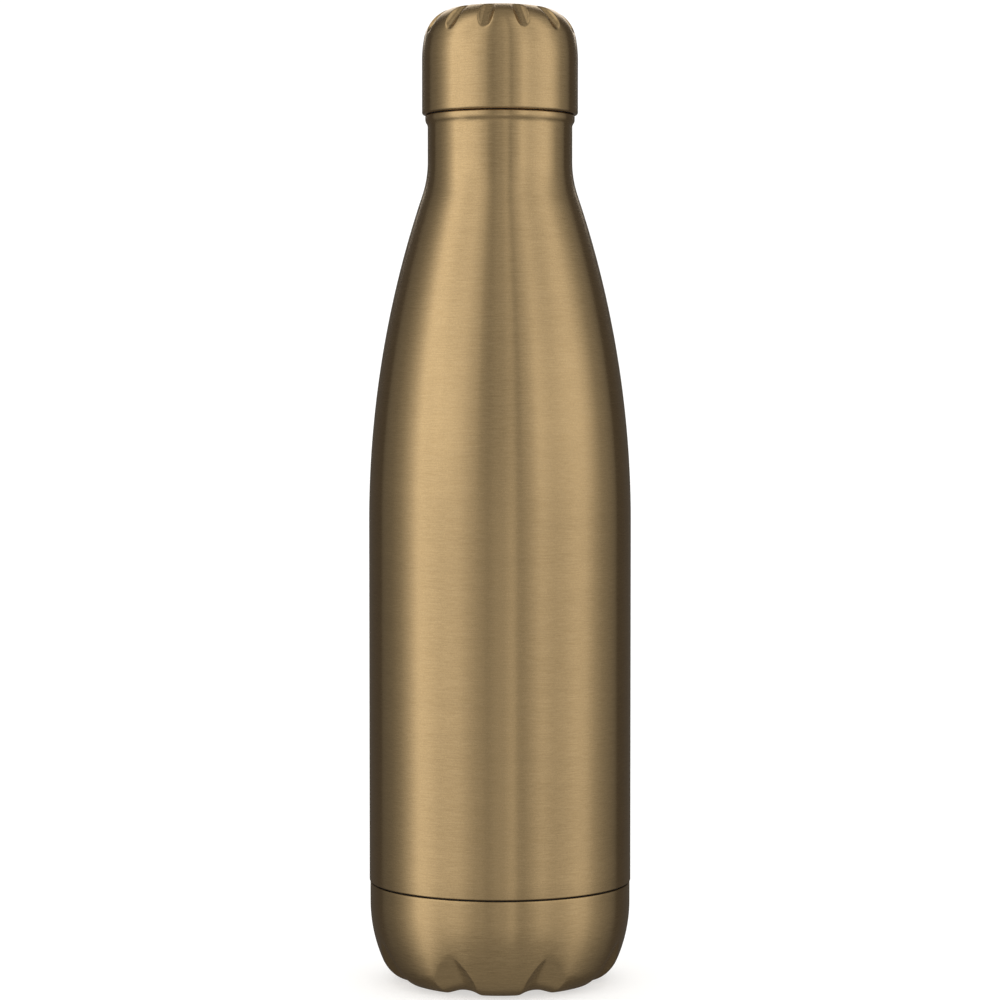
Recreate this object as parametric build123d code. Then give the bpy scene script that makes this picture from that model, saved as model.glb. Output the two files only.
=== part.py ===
from build123d import *
import os
from math import asin, atan2, cos, degrees, radians, sin, sqrt, tan

# Vacuum-insulated water bottle: a double-wall steel body on a lobed base cup, closed by a fluted
# screw lid with an insulated stopper. Millimetres, +Z up. The origin is the bottom centre, on the
# surface that the bottle stands on, and one lobe of the base faces -Y.

# body
body_radius = 35.0
body_length = 95.9  # straight side, from the seam above the base cup to the shoulder
shoulder_curve = 272.0
neck_radius = 19.25
neck_curve = 28.7  # hollow curve between the shoulder and the neck
neck_length = 12.06  # straight neck, rim included
shell_wall = 0.5
bead_height = 0.65  # how far the rim's bead stands out from the neck
bead_length = 3.05
rim_round = 0.5
spigot_length = 6.7  # the necked-in end of the shell, inside the base cup

# liner
liner_wall = 0.5
body_vacuum_gap = 3.0
neck_vacuum_gap = 1.05
liner_neck_curve = 30.0
liner_base_gap = 4.5  # vacuum space under the liner's bottom
liner_base_corner = 8.0
liner_base_skirt = 10.5
liner_dome_radius = 18.0
liner_dome_rise = 2.0
copper_thickness = 0.1
copper_margin = 4.0  # bare liner above and below the copper wrap

# shell end
end_skirt = 4.0  # how far the end disc's skirt reaches up inside the spigot
end_corner = 6.0
end_floor_height = 10.5
dimple_radius = 7.0
dimple_depth = 1.5
dimple_slope = 1.5
port_radius = 1.0
seal_radius = 3.2
seal_drop = 0.9
port_cover_radius = 9.0
port_cover_thickness = 0.4
getter_radius = 5.0
getter_thickness = 2.5
getter_offset = 17.0
clip_width = 3.0
clip_thickness = 0.3
clip_foot = 3.0

# base cup
cup_height = 26.6
cup_inset = 0.2  # the cup is this much slimmer than the body
cup_wall = 0.5
cup_band = 5.1  # straight band under the cup's top edge
cup_side_curve = 39.0
cup_foot_curve = 10.0
foot_inner_radius = 20.0
foot_edge_curve = 2.5
base_dome_rise = 4.5
seam_gap = 0.5
seam_step = 0.4
bond_thickness = 0.2
bond_margin = 0.7
lobe_count = 8
valley_apex_height = 12.0
valley_lean = 34.0  # degrees from upright
valley_radius = 12.0
valley_bend = 8.0
valley_foot_gap = 0.8
valley_foot_slope = 7.0

# lid shell
lid_gap = 0.3  # visible gap between the rim and the lid
lid_overhang = 0.85  # how far the lid stands out from the rim's bead
lid_height = 29.0
lid_wall = 0.6
lid_side_height = 14.6  # straight side, above which the wall leans in
lid_side_curve = 30.0
lid_lean_height = 20.6  # height in the lid where the shoulder curve begins
lid_shoulder_curve = 9.45
lid_hem = 0.8
lid_hem_lip = 0.35
flute_count = 12
flute_turn = 18.2  # degrees
flute_radius = 2.15
flute_drop = 7.9  # from the lid's top to a flute's lower end
flute_reach = 12.8  # radius at a flute's upper end

# stopper
gasket_thickness = 1.0
gasket_margin = 0.2  # inside the rim's flat top
gasket_bore_gap = 0.1
stopper_fit = 0.15  # bond line between the stopper and the lid shell
stopper_cup_height = 14.9
stopper_cup_wall = 2.0
stopper_floor = 2.5
stopper_bond_height = 8.0
stopper_bond_margin = 3.9
top_disc_thickness = 2.0
barrel_gap = 1.55  # between the barrel and the mouth's bore
barrel_wall = 2.0
barrel_length = 17.1
end_cap_thickness = 1.5
end_cap_spigot = 2.0
end_cap_round = 0.6

# thread
thread_pitch = 4.0
thread_turns = 1.75
thread_drop = 12.1  # from the rim down to the neck thread's lowest turn
thread_root_width = 1.8
thread_tip_width = 0.9
thread_height = 1.2
thread_root_sink = 0.2  # how deep a ridge is rooted in its wall
thread_tip_gap = 0.35
thread_flank_gap = 0.12

# values that follow
body_bottom = cup_height + seam_gap
shoulder_start = body_bottom + body_length
shell_bore = body_radius - shell_wall
liner_radius = shell_bore - body_vacuum_gap
liner_bore = liner_radius - liner_wall
neck_bore = neck_radius - shell_wall
liner_neck_radius = neck_bore - neck_vacuum_gap
mouth_bore = liner_neck_radius - liner_wall
cup_radius = body_radius - cup_inset
cup_bore = cup_radius - cup_wall
spigot_radius = cup_bore - bond_thickness
spigot_bore = spigot_radius - shell_wall
step_bottom = body_bottom - seam_step
spigot_bottom = step_bottom - spigot_length
bead_radius = neck_radius + bead_height
lid_radius = bead_radius + lid_overhang
lid_bore = lid_radius - lid_wall
shoulder_centre = body_radius - shoulder_curve


def neck_centre_height(shoulder_r, neck_r, curve):
    """Height of the hollow neck curve's centre, where it meets the shoulder and the neck smoothly."""
    across = neck_r + curve - shoulder_centre
    return shoulder_start + sqrt((shoulder_r + curve) ** 2 - across**2)


neck_start = neck_centre_height(shoulder_curve, neck_radius, neck_curve)
liner_shoulder_curve = liner_radius - shoulder_centre
liner_neck_start = neck_centre_height(
    liner_shoulder_curve, liner_neck_radius, liner_neck_curve - liner_wall
)
rim_top = neck_start + neck_length
flange_bottom = rim_top - rim_round
lid_bottom = rim_top + lid_gap
lid_top = lid_bottom + lid_height
gasket_top = rim_top + gasket_thickness
barrel_radius = mouth_bore - barrel_gap
barrel_bottom = gasket_top - barrel_length
thread_bottom = rim_top - thread_drop
stopper_radius = lid_bore - stopper_fit
stopper_top = gasket_top + stopper_cup_height
stopper_bore = stopper_radius - stopper_cup_wall
barrel_bore = barrel_radius - barrel_wall
top_disc_bottom = stopper_top - top_disc_thickness
liner_base_bottom = end_floor_height + shell_wall + liner_base_gap
liner_base_top = liner_base_bottom + liner_base_skirt


def arc(centre_r, centre_z, radius, start, end):
    """Arc in the profile plane, from one angle to the other in degrees."""
    return CenterArc((centre_r, centre_z), radius, start, end - start)


def turned(*edges):
    """Solid of revolution about +Z from a closed profile of (radius, height) edges."""
    return revolve(Plane.XZ * make_face(edges), Axis.Z)


def ring(inner, outer, bottom, top):
    outline = Polyline((inner, bottom), (outer, bottom), (outer, top), (inner, top), (inner, bottom))
    return turned(outline)


def disc(radius, bottom, top):
    return ring(0, radius, bottom, top)


def around(count, first, shape):
    """Copies of a shape spaced evenly round the bottle's axis."""
    return [Rot(0, 0, first + 360 * i / count) * shape for i in range(count)]


def necked_wall(radius, shoulder_r, neck_r, curve, start_z):
    """Edges of one wall surface: side, shoulder and neck curve, from start_z up to the neck."""
    centre_z = neck_centre_height(shoulder_r, neck_r, curve)
    turn = degrees(asin((centre_z - shoulder_start) / (shoulder_r + curve)))
    side = Line((radius, start_z), (radius, shoulder_start))
    shoulder = arc(shoulder_centre, shoulder_start, shoulder_r, 0, turn)
    hollow = arc(neck_r + curve, centre_z, curve, 180 + turn, 180)
    return [side, shoulder, hollow], centre_z


def outer_shell():
    step_angle = atan2(body_radius - spigot_radius, seam_step)
    step_shift = shell_wall * tan(step_angle / 2)
    outside, outside_top = necked_wall(
        body_radius, shoulder_curve, neck_radius, neck_curve, body_bottom
    )
    inside, inside_top = necked_wall(
        shell_bore, shoulder_curve - shell_wall, neck_bore, neck_curve + shell_wall,
        body_bottom + step_shift,
    )
    bead_bottom = rim_top - bead_length
    spigot = Polyline(
        (spigot_radius, spigot_bottom), (spigot_radius, step_bottom), (body_radius, body_bottom)
    )
    rim = [
        Line((neck_radius, outside_top), (neck_radius, bead_bottom)),
        arc(neck_radius, bead_bottom + bead_height, bead_height, -90, 0),
        Line((bead_radius, bead_bottom + bead_height), (bead_radius, flange_bottom - rim_round)),
        arc(bead_radius - rim_round, flange_bottom - rim_round, rim_round, 0, 90),
    ]
    back = [
        Polyline(
            (bead_radius - rim_round, flange_bottom), (neck_bore, flange_bottom),
            (neck_bore, inside_top),
        ),
        Polyline(
            (shell_bore, body_bottom + step_shift), (spigot_bore, step_bottom + step_shift),
            (spigot_bore, spigot_bottom), (spigot_radius, spigot_bottom),
        ),
    ]
    return turned(spigot, *outside, *rim, back[0], *inside, back[1])


def shell_end_disc():
    """Dished disc welded into the spigot, with the evacuation port in a dimple at its centre."""
    inner_corner = end_corner - shell_wall
    corner_z = end_floor_height + end_corner
    corner_r = spigot_bore - end_corner
    slope_shift = shell_wall * tan(atan2(dimple_depth, dimple_slope) / 2)
    dimple_bottom = dimple_radius - dimple_slope
    dimple_z = end_floor_height + dimple_depth
    skirt_top = spigot_bottom + end_skirt
    return turned(
        Line((spigot_bore, skirt_top), (spigot_bore, corner_z)),
        arc(corner_r, corner_z, end_corner, 0, -90),
        Polyline(
            (corner_r, end_floor_height), (dimple_radius, end_floor_height),
            (dimple_bottom, dimple_z), (port_radius, dimple_z), (port_radius, dimple_z + shell_wall),
            (dimple_bottom + slope_shift, dimple_z + shell_wall),
            (dimple_radius + slope_shift, end_floor_height + shell_wall),
            (corner_r, end_floor_height + shell_wall),
        ),
        arc(corner_r, corner_z, inner_corner, -90, 0),
        Polyline(
            (spigot_bore - shell_wall, corner_z), (spigot_bore - shell_wall, skirt_top),
            (spigot_bore, skirt_top),
        ),
    )


def vacuum_seal():
    """Sealing bead that fills the port and domes down into the dimple."""
    top = end_floor_height + dimple_depth
    bead_r = (seal_radius**2 + seal_drop**2) / (2 * seal_drop)
    half = degrees(asin(seal_radius / bead_r))
    return turned(
        Polyline((0, top - seal_drop), (0, top + shell_wall), (port_radius, top + shell_wall),
                 (port_radius, top), (seal_radius, top)),
        arc(0, top - seal_drop + bead_r, bead_r, -90 + half, -90),
    )


def port_cover():
    return disc(port_cover_radius, end_floor_height - port_cover_thickness, end_floor_height)


def getter_pill():
    floor = end_floor_height + shell_wall
    return Pos(getter_offset, 0, 0) * disc(getter_radius, floor, floor + getter_thickness)


def getter_clip():
    """Bent strip over the getter pill, its two feet on the end disc."""
    floor = end_floor_height + shell_wall
    top = floor + getter_thickness
    inner = getter_radius
    outer = getter_radius + clip_thickness
    foot = outer + clip_foot
    half = [
        (foot, floor), (inner, floor), (inner, top), (-inner, top), (-inner, floor), (-foot, floor),
        (-foot, floor + clip_thickness), (-outer, floor + clip_thickness),
        (-outer, top + clip_thickness), (outer, top + clip_thickness),
        (outer, floor + clip_thickness), (foot, floor + clip_thickness), (foot, floor),
    ]
    strip = Plane.YZ * make_face(Polyline(*half))
    return Pos(getter_offset - clip_width / 2, 0, 0) * extrude(strip, clip_width)


def thread_ridge(wall_radius, sink, start_z):
    """Right-hand helical ridge. A positive sink roots it outwards, a negative one inwards."""
    side = 1 if sink > 0 else -1
    root = wall_radius + sink
    tip = wall_radius - side * thread_height
    half_root = thread_root_width / 2
    half_tip = thread_tip_width / 2
    outline = Polyline(
        (root, start_z - half_root), (root, start_z + half_root), (tip, start_z + half_tip),
        (tip, start_z - half_tip), (root, start_z - half_root),
    )
    path = Helix(thread_pitch, thread_pitch * thread_turns, root, center=(0, 0, start_z))
    return sweep(Plane.XZ * make_face(outline), path=path, is_frenet=True)


def liner_body():
    outside, outside_top = necked_wall(
        liner_radius, liner_shoulder_curve, liner_neck_radius, liner_neck_curve - liner_wall,
        liner_base_top,
    )
    inside, inside_top = necked_wall(
        liner_bore, liner_shoulder_curve - liner_wall, mouth_bore, liner_neck_curve, liner_base_top
    )
    lip_r = bead_radius - rim_round
    flange = [
        Polyline((liner_neck_radius, outside_top), (liner_neck_radius, flange_bottom),
                 (lip_r, flange_bottom)),
        arc(lip_r - rim_round, flange_bottom, rim_round, 0, 90),
        Line((lip_r - rim_round, rim_top), (mouth_bore + rim_round, rim_top)),
        arc(mouth_bore + rim_round, flange_bottom, rim_round, 90, 180),
        Line((mouth_bore, flange_bottom), (mouth_bore, inside_top)),
    ]
    bottom = Line((liner_bore, liner_base_top), (liner_radius, liner_base_top))
    wall = turned(*outside, *flange, *inside, bottom)
    return wall + thread_ridge(mouth_bore, thread_root_sink, thread_bottom)


def domed_floor(radius, rise, z):
    """Arc from the axis out to a flat floor, domed up by rise at its centre."""
    curve = (radius**2 + rise**2) / (2 * rise)
    half = degrees(asin(radius / curve))
    return arc(0, z + rise - curve, curve, 90, 90 - half)


def liner_base():
    inner_corner = liner_base_corner - liner_wall
    corner_r = liner_radius - liner_base_corner
    corner_z = liner_base_bottom + liner_base_corner
    under = domed_floor(liner_dome_radius, liner_dome_rise, liner_base_bottom)
    over = Pos(0, liner_wall) * under
    return turned(
        under,
        Line((liner_dome_radius, liner_base_bottom), (corner_r, liner_base_bottom)),
        arc(corner_r, corner_z, liner_base_corner, -90, 0),
        Polyline((liner_radius, corner_z), (liner_radius, liner_base_top),
                 (liner_bore, liner_base_top), (liner_bore, corner_z)),
        arc(corner_r, corner_z, inner_corner, 0, -90),
        Line((corner_r, liner_base_bottom + liner_wall),
             (liner_dome_radius, liner_base_bottom + liner_wall)),
        over,
        Line((0, liner_base_bottom + liner_dome_rise),
             (0, liner_base_bottom + liner_dome_rise + liner_wall)),
    )


def copper_wrap():
    return ring(liner_radius, liner_radius + copper_thickness,
                liner_base_top + copper_margin, shoulder_start - copper_margin)


def cup_solid(wall):
    """The base cup's form without its valleys. The one drawn in by a wall stands proud at the top."""
    top = cup_height + wall
    side_r = cup_radius - cup_side_curve
    band_z = cup_height - cup_band
    drop = band_z - cup_foot_curve
    reach = sqrt((cup_side_curve - cup_foot_curve) ** 2 - drop**2)
    foot_r = side_r + reach
    turn = degrees(atan2(drop, reach))
    edge = foot_edge_curve - wall
    slope = 2 * degrees(atan2(base_dome_rise, foot_inner_radius))
    dome_curve = foot_inner_radius / sin(radians(slope)) - foot_edge_curve + wall
    return turned(
        Polyline((0, base_dome_rise + wall), (0, top), (cup_radius - wall, top),
                 (cup_radius - wall, band_z)),
        arc(side_r, band_z, cup_side_curve - wall, 0, -turn),
        arc(foot_r, cup_foot_curve, cup_foot_curve - wall, -turn, -90),
        Line((foot_r, wall), (foot_inner_radius, wall)),
        arc(foot_inner_radius, foot_edge_curve, edge, -90, -90 - slope),
        arc(0, base_dome_rise + wall - dome_curve, dome_curve, 90 - slope, 90),
    )


def valley_cutter(wall):
    """Round bar that presses one valley between two lobes, bent from the side to under the foot."""
    side_r = cup_radius - cup_side_curve
    band_z = cup_height - cup_band
    apex_r = side_r + sqrt(cup_side_curve**2 - (band_z - valley_apex_height) ** 2)
    lean = radians(valley_lean)
    slope = radians(valley_foot_slope)
    apex = Vector(apex_r, valley_apex_height)
    down = Vector(-sin(lean), -cos(lean))
    out = Vector(cos(lean), -sin(lean))
    foot = Vector(foot_inner_radius, valley_foot_gap)
    along = Vector(cos(slope), sin(slope))
    below = Vector(sin(slope), -cos(slope))
    start = apex + out * valley_radius - down * valley_radius
    end = foot + below * valley_radius - along * valley_radius
    run = ((end - start).X * along.Y - (end - start).Y * along.X) / (down.X * along.Y - down.Y * along.X)
    corner = start + down * run
    path = FilletPolyline(start, corner, end, radius=valley_bend + valley_radius)
    place = Plane.XZ * path
    section = Plane(origin=place @ 0, x_dir=(out.X, 0, out.Y), z_dir=place % 0)
    return sweep(section * Circle(valley_radius + wall), path=place)


def base_cup():
    """Thin cup pressed into lobes; inside and outside are cut alike, so the wall stays even."""
    first = 180 / lobe_count
    outside = cup_solid(0) - around(lobe_count, first, valley_cutter(0))
    inside = cup_solid(cup_wall) - around(lobe_count, first, valley_cutter(cup_wall))
    return Rot(0, 0, -90) * (outside - inside)


def base_bond():
    bottom = cup_height - cup_band
    return ring(spigot_radius, cup_bore, bottom, cup_height - bond_margin)


def lid_curves():
    """Centres and angles of the lid's side, shoulder and crown curves."""
    side_z = lid_bottom + lid_side_height
    lean_z = lid_bottom + lid_lean_height
    side_r = lid_radius - lid_side_curve
    lean = asin((lean_z - side_z) / lid_side_curve)
    gap = lid_side_curve - lid_shoulder_curve
    shoulder_r = side_r + gap * cos(lean)
    shoulder_z = side_z + gap * sin(lean)
    drop = lid_top - shoulder_z
    crown = (drop**2 + shoulder_r**2 - lid_shoulder_curve**2) / (2 * (drop - lid_shoulder_curve))
    top = degrees(atan2(shoulder_z - lid_top + crown, shoulder_r))
    return side_z, side_r, degrees(lean), shoulder_r, shoulder_z, crown, top


def lid_solid(wall):
    """The lid's form without its flutes. The one drawn in by a wall stands proud at the bottom."""
    bottom = lid_bottom - wall
    side_z, side_r, lean, shoulder_r, shoulder_z, crown, top = lid_curves()
    radius = lid_radius - wall
    return turned(
        Polyline((0, lid_top - wall), (0, bottom), (radius, bottom), (radius, side_z)),
        arc(side_r, side_z, lid_side_curve - wall, 0, lean),
        arc(shoulder_r, shoulder_z, lid_shoulder_curve - wall, lean, top),
        arc(0, lid_top - crown, crown - wall, top, 90),
    )


def flute_cutter(wall):
    """Round bar that scoops one flute over the lid's shoulder."""
    side_z, side_r, lean, shoulder_r, shoulder_z, crown, top = lid_curves()
    low_z = lid_top - flute_drop
    low_r = shoulder_r + sqrt(lid_shoulder_curve**2 - (low_z - shoulder_z) ** 2)
    high_z = lid_top - crown + sqrt(crown**2 - flute_reach**2)
    rise = Vector(flute_reach - low_r, high_z - low_z)
    along = rise.normalized()
    out = Vector(along.Y, -along.X)
    spare = 3 * flute_radius
    start = Vector(low_r, low_z) + out * flute_radius - along * spare
    length = rise.length + 2 * spare
    bar = Plane(origin=(start.X, 0, start.Y), x_dir=(out.X, 0, out.Y), z_dir=(along.X, 0, along.Y))
    return bar * extrude(Circle(flute_radius + wall), length)


def lid_hem_edge():
    """Cross-section outside the rolled hem, taken off the lid's lower edge."""
    hem_z = lid_bottom + lid_hem
    hem_r = lid_radius - lid_hem
    return turned(
        Polyline((hem_r, lid_bottom), (lid_radius, lid_bottom), (lid_radius, hem_z)),
        arc(hem_r, hem_z, lid_hem, 0, -90),
    )


def lid_shell():
    first = 180 / flute_count
    outside = lid_solid(0) - around(flute_count, first, flute_cutter(0)) - lid_hem_edge()
    inside = lid_solid(lid_wall) - around(flute_count, first, flute_cutter(lid_wall))
    lip_r = lid_radius - lid_hem - lid_hem_lip
    lip = ring(lip_r, lid_bore, lid_bottom, lid_bottom + lid_wall)
    return Rot(0, 0, flute_turn - first) * (outside - (inside - lip))


def lid_bond():
    bottom = gasket_top + stopper_bond_margin
    return ring(stopper_radius, lid_bore, bottom, bottom + stopper_bond_height)


def stopper_body():
    """Moulded cup that fills the lid, with the threaded barrel below it, in one piece."""
    floor = gasket_top + stopper_floor
    spigot_z = barrel_bottom + end_cap_thickness
    wall = turned(
        Polyline(
            (barrel_bore, spigot_z), (barrel_radius, spigot_z), (barrel_radius, gasket_top),
            (stopper_radius, gasket_top), (stopper_radius, stopper_top), (stopper_bore, stopper_top),
            (stopper_bore, floor), (barrel_bore, floor), (barrel_bore, spigot_z),
        )
    )
    return wall + stopper_thread()


def stopper_thread():
    """The stopper's ridge lies just under the neck's, with a small gap between their flanks."""
    tip_r = mouth_bore - thread_tip_gap
    slope = (thread_root_width - thread_tip_width) / 2 / (thread_height + thread_root_sink)
    shared = thread_height + thread_height - (mouth_bore - barrel_radius)
    drop = thread_tip_width + slope * shared + thread_flank_gap
    return thread_ridge(barrel_radius, -thread_root_sink, thread_bottom - drop)


def stopper_foam():
    floor = gasket_top + stopper_floor
    bottom = barrel_bottom + end_cap_thickness + end_cap_spigot
    return turned(
        Polyline(
            (0, bottom), (barrel_bore, bottom), (barrel_bore, floor), (stopper_bore, floor),
            (stopper_bore, top_disc_bottom), (0, top_disc_bottom), (0, bottom),
        )
    )


def stopper_top_disc():
    return disc(stopper_bore, top_disc_bottom, stopper_top)


def stopper_end_cap():
    flange_top = barrel_bottom + end_cap_thickness
    round_r = barrel_radius - end_cap_round
    return turned(
        Polyline((0, barrel_bottom), (round_r, barrel_bottom)),
        arc(round_r, barrel_bottom + end_cap_round, end_cap_round, -90, 0),
        Polyline(
            (barrel_radius, barrel_bottom + end_cap_round), (barrel_radius, flange_top),
            (barrel_bore, flange_top), (barrel_bore, flange_top + end_cap_spigot),
            (0, flange_top + end_cap_spigot), (0, barrel_bottom),
        ),
    )


def lid_gasket():
    outer = bead_radius - 2 * rim_round - gasket_margin
    return ring(barrel_radius + gasket_bore_gap, outer, rim_top, gasket_top)


nodes = {
    "outer_shell": outer_shell,
    "shell_end_disc": shell_end_disc,
    "vacuum_seal": vacuum_seal,
    "port_cover": port_cover,
    "getter_pill": getter_pill,
    "getter_clip": getter_clip,
    "liner_body": liner_body,
    "liner_base": liner_base,
    "copper_wrap": copper_wrap,
    "base_cup": base_cup,
    "base_bond": base_bond,
    "lid_shell": lid_shell,
    "lid_bond": lid_bond,
    "stopper_body": stopper_body,
    "stopper_foam": stopper_foam,
    "stopper_top_disc": stopper_top_disc,
    "stopper_end_cap": stopper_end_cap,
    "lid_gasket": lid_gasket,
}

os.makedirs("parts", exist_ok=True)
for name, make in nodes.items():
    export_step(make(), f"parts/{name}.step")
    print(name)
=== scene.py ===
import math
import bpy
import numpy as np
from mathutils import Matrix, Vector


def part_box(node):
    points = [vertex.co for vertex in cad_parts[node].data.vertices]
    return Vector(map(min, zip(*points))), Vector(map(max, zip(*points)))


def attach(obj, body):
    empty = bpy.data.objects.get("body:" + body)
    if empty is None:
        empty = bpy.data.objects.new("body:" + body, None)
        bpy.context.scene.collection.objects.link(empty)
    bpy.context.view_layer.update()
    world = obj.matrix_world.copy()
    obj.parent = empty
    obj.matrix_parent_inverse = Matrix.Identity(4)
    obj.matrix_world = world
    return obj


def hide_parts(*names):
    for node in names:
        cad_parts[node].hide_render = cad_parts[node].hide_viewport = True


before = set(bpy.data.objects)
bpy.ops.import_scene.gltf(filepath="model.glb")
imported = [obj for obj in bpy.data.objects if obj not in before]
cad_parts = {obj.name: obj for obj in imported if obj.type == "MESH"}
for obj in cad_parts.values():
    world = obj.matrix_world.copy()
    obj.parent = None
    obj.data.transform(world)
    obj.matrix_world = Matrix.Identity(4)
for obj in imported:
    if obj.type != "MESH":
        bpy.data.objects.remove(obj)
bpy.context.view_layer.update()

mm = 0.001  # shapes are worked out in millimetres, meshes are in metres
samePoint = 1e-4  # outline points closer than this are one point, in mm
onWall = 1e-6  # a point this near a wall's radius lies on the wall, in mm
pressReach = 6  # a bar no longer moves skin this many softnesses from its edge


def arcRun(centre, radius, start, end, count):
    # a stretch of circle about (radius, height) centre, angles in degrees
    angle = np.radians(np.linspace(start, end, count))
    return np.stack([centre[0] + radius * np.cos(angle), centre[1] + radius * np.sin(angle)], 1)


def lineRun(start, end, count):
    # points at equal steps along a straight line
    return np.linspace(start, end, count)


def joinRuns(*runs):
    # runs end to end as one outline, with a doubled point dropped where two runs meet
    points = np.concatenate(runs)
    step = np.hypot(*np.diff(points, axis=0).T)
    return points[np.r_[True, step > samePoint]]


def roundCorners(points, radius, count):
    # a polygon's outline with every inner corner turned into an arc of that radius
    runs = [np.array(points[:1], float)]
    for before, corner, after in zip(points, points[1:], points[2:]):
        before, corner, after = (np.array(p, float) for p in (before, corner, after))
        back = (before - corner) / np.linalg.norm(before - corner)
        ahead = (after - corner) / np.linalg.norm(after - corner)
        half = math.acos(np.clip(back @ ahead, -1, 1)) / 2
        reach = radius / math.tan(half)
        middle = corner + (back + ahead) / np.linalg.norm(back + ahead) * radius / math.sin(half)
        first, last = corner + back * reach, corner + ahead * reach
        blend = np.linspace(0, 1, count)[:, None]
        chord = first * (1 - blend) + last * blend - middle
        runs.append(middle + chord / np.linalg.norm(chord, axis=1)[:, None] * radius)
    runs.append(np.array(points[-1:], float))
    return np.concatenate(runs)


def turned(outline, columns, first=0.0):
    # point(i, j) = outline point i carried round the axis to angle j, first in degrees
    angle = np.radians(first) + np.linspace(0, 2 * np.pi, columns, endpoint=False)
    radius = outline[:, :1]
    height = np.broadcast_to(outline[:, 1:], (len(outline), columns))
    return np.stack([radius * np.cos(angle), radius * np.sin(angle), height], 2)


def swung(grid, angle):
    # the grid turned about the axis, by an angle that may differ from point to point
    cosine, sine = np.cos(angle), np.sin(angle)
    return np.stack([grid[..., 0] * cosine - grid[..., 1] * sine,
                     grid[..., 0] * sine + grid[..., 1] * cosine, grid[..., 2]], -1)


def nearestOf(count, first, grid):
    # for each point, the angle of the nearest of count equal places round the axis
    sector = 2 * np.pi / count
    angle = np.arctan2(grid[..., 1], grid[..., 0])
    return first + sector * np.round((angle - first) / sector)


def pressed(grid, barRadius, distance, away, softness):
    # A round bar pressed into the skin: a point closer to the bar's line than its radius moves straight
    # away from the line until it lies on the bar. The square root softens the bar's two edges.
    depth = barRadius - distance
    push = (depth + np.sqrt(depth ** 2 + softness ** 2)) / 2
    push = np.where(depth < -pressReach * softness, 0, push)
    return grid + away * push[..., None]


def newObject(name, data):
    piece = bpy.data.objects.new(name, data)
    bpy.context.scene.collection.objects.link(piece)
    return piece


def skin(name, grid, outline, poles=False):
    # Rows follow the outline and columns go round. An outline runs up its outer side, so faces point
    # outwards. With poles its two ends are single points on the axis; otherwise it closes on itself.
    # In the UV map, u is the share of a turn and v is metres along the outline.
    rows, columns = grid.shape[:2]
    length = np.r_[0, np.cumsum(np.hypot(*np.diff(outline, axis=0).T))] * mm
    if poles:
        points = np.concatenate([grid[0, :1], grid[1:-1].reshape(-1, 3), grid[-1, :1]])
        number = np.arange((rows - 2) * columns).reshape(rows - 2, columns) + 1
        bandLength = length[1:-1]
    else:
        points = grid.reshape(-1, 3)
        number = np.arange(rows * columns).reshape(rows, columns)
        number = np.vstack([number, number[:1]])
        bandLength = np.r_[length, length[-1] + np.linalg.norm(outline[0] - outline[-1]) * mm]
    beside = np.roll(number, -1, axis=1)
    quads = np.stack([number[:-1], beside[:-1], beside[1:], number[1:]], 2).reshape(-1, 4)
    turn = np.arange(columns) / columns
    left = np.broadcast_to(turn, (len(bandLength) - 1, columns))
    low = np.broadcast_to(bandLength[:-1, None], left.shape)
    high = np.broadcast_to(bandLength[1:, None], left.shape)
    right = left + 1 / columns
    quadUv = np.stack([left, low, right, low, right, high, left, high], 2).reshape(-1, 2)
    corners, sizes, uv = [quads.ravel()], [np.full(len(quads), 4)], [quadUv]
    if poles:
        last = len(points) - 1
        start = np.stack([np.zeros(columns, int), beside[0], number[0]], 1)
        end = np.stack([np.full(columns, last), number[-1], beside[-1]], 1)
        fans = [(start, (turn + 1 / columns, turn), length[0], bandLength[0]),
                (end, (turn, turn + 1 / columns), length[-1], bandLength[-1])]
        for fan, sides, poleLength, edgeLength in fans:
            corners.append(fan.ravel())
            sizes.append(np.full(columns, 3))
            uv.append(np.stack([turn + 0.5 / columns, np.full(columns, poleLength),
                                sides[0], np.full(columns, edgeLength),
                                sides[1], np.full(columns, edgeLength)], 1).reshape(-1, 2))
    corners, sizes, uv = (np.concatenate(part) for part in (corners, sizes, uv))
    mesh = bpy.data.meshes.new(name)
    mesh.vertices.add(len(points))
    mesh.vertices.foreach_set("co", (points * mm).astype(np.float32).ravel())
    mesh.loops.add(len(corners))
    mesh.loops.foreach_set("vertex_index", corners.astype(np.int32))
    mesh.polygons.add(len(sizes))
    mesh.polygons.foreach_set("loop_start", (np.cumsum(sizes) - sizes).astype(np.int32))
    mesh.update(calc_edges=True)
    mesh.uv_layers.new(name="brushing").data.foreach_set("uv", uv.astype(np.float32).ravel())
    mesh.validate()
    mesh.shade_smooth()
    return newObject(name, mesh)


def place(piece, body, slot, *nodes):
    # the piece moves with its body and stands in for those CAD nodes
    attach(piece, body)
    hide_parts(*nodes)
    return piece


def boxOf(node):
    low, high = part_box(node)
    return high.x / mm, low.z / mm, high.z / mm  # outer radius, bottom and top


shellRadius, spigotBottom, _ = boxOf("outer_shell")
cupRadius, _, cupTop = boxOf("base_cup")
lidRadius, lidBottom, lidTop = boxOf("lid_shell")
linerRadius, linerBottom, rimTop = boxOf("liner_body")

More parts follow.
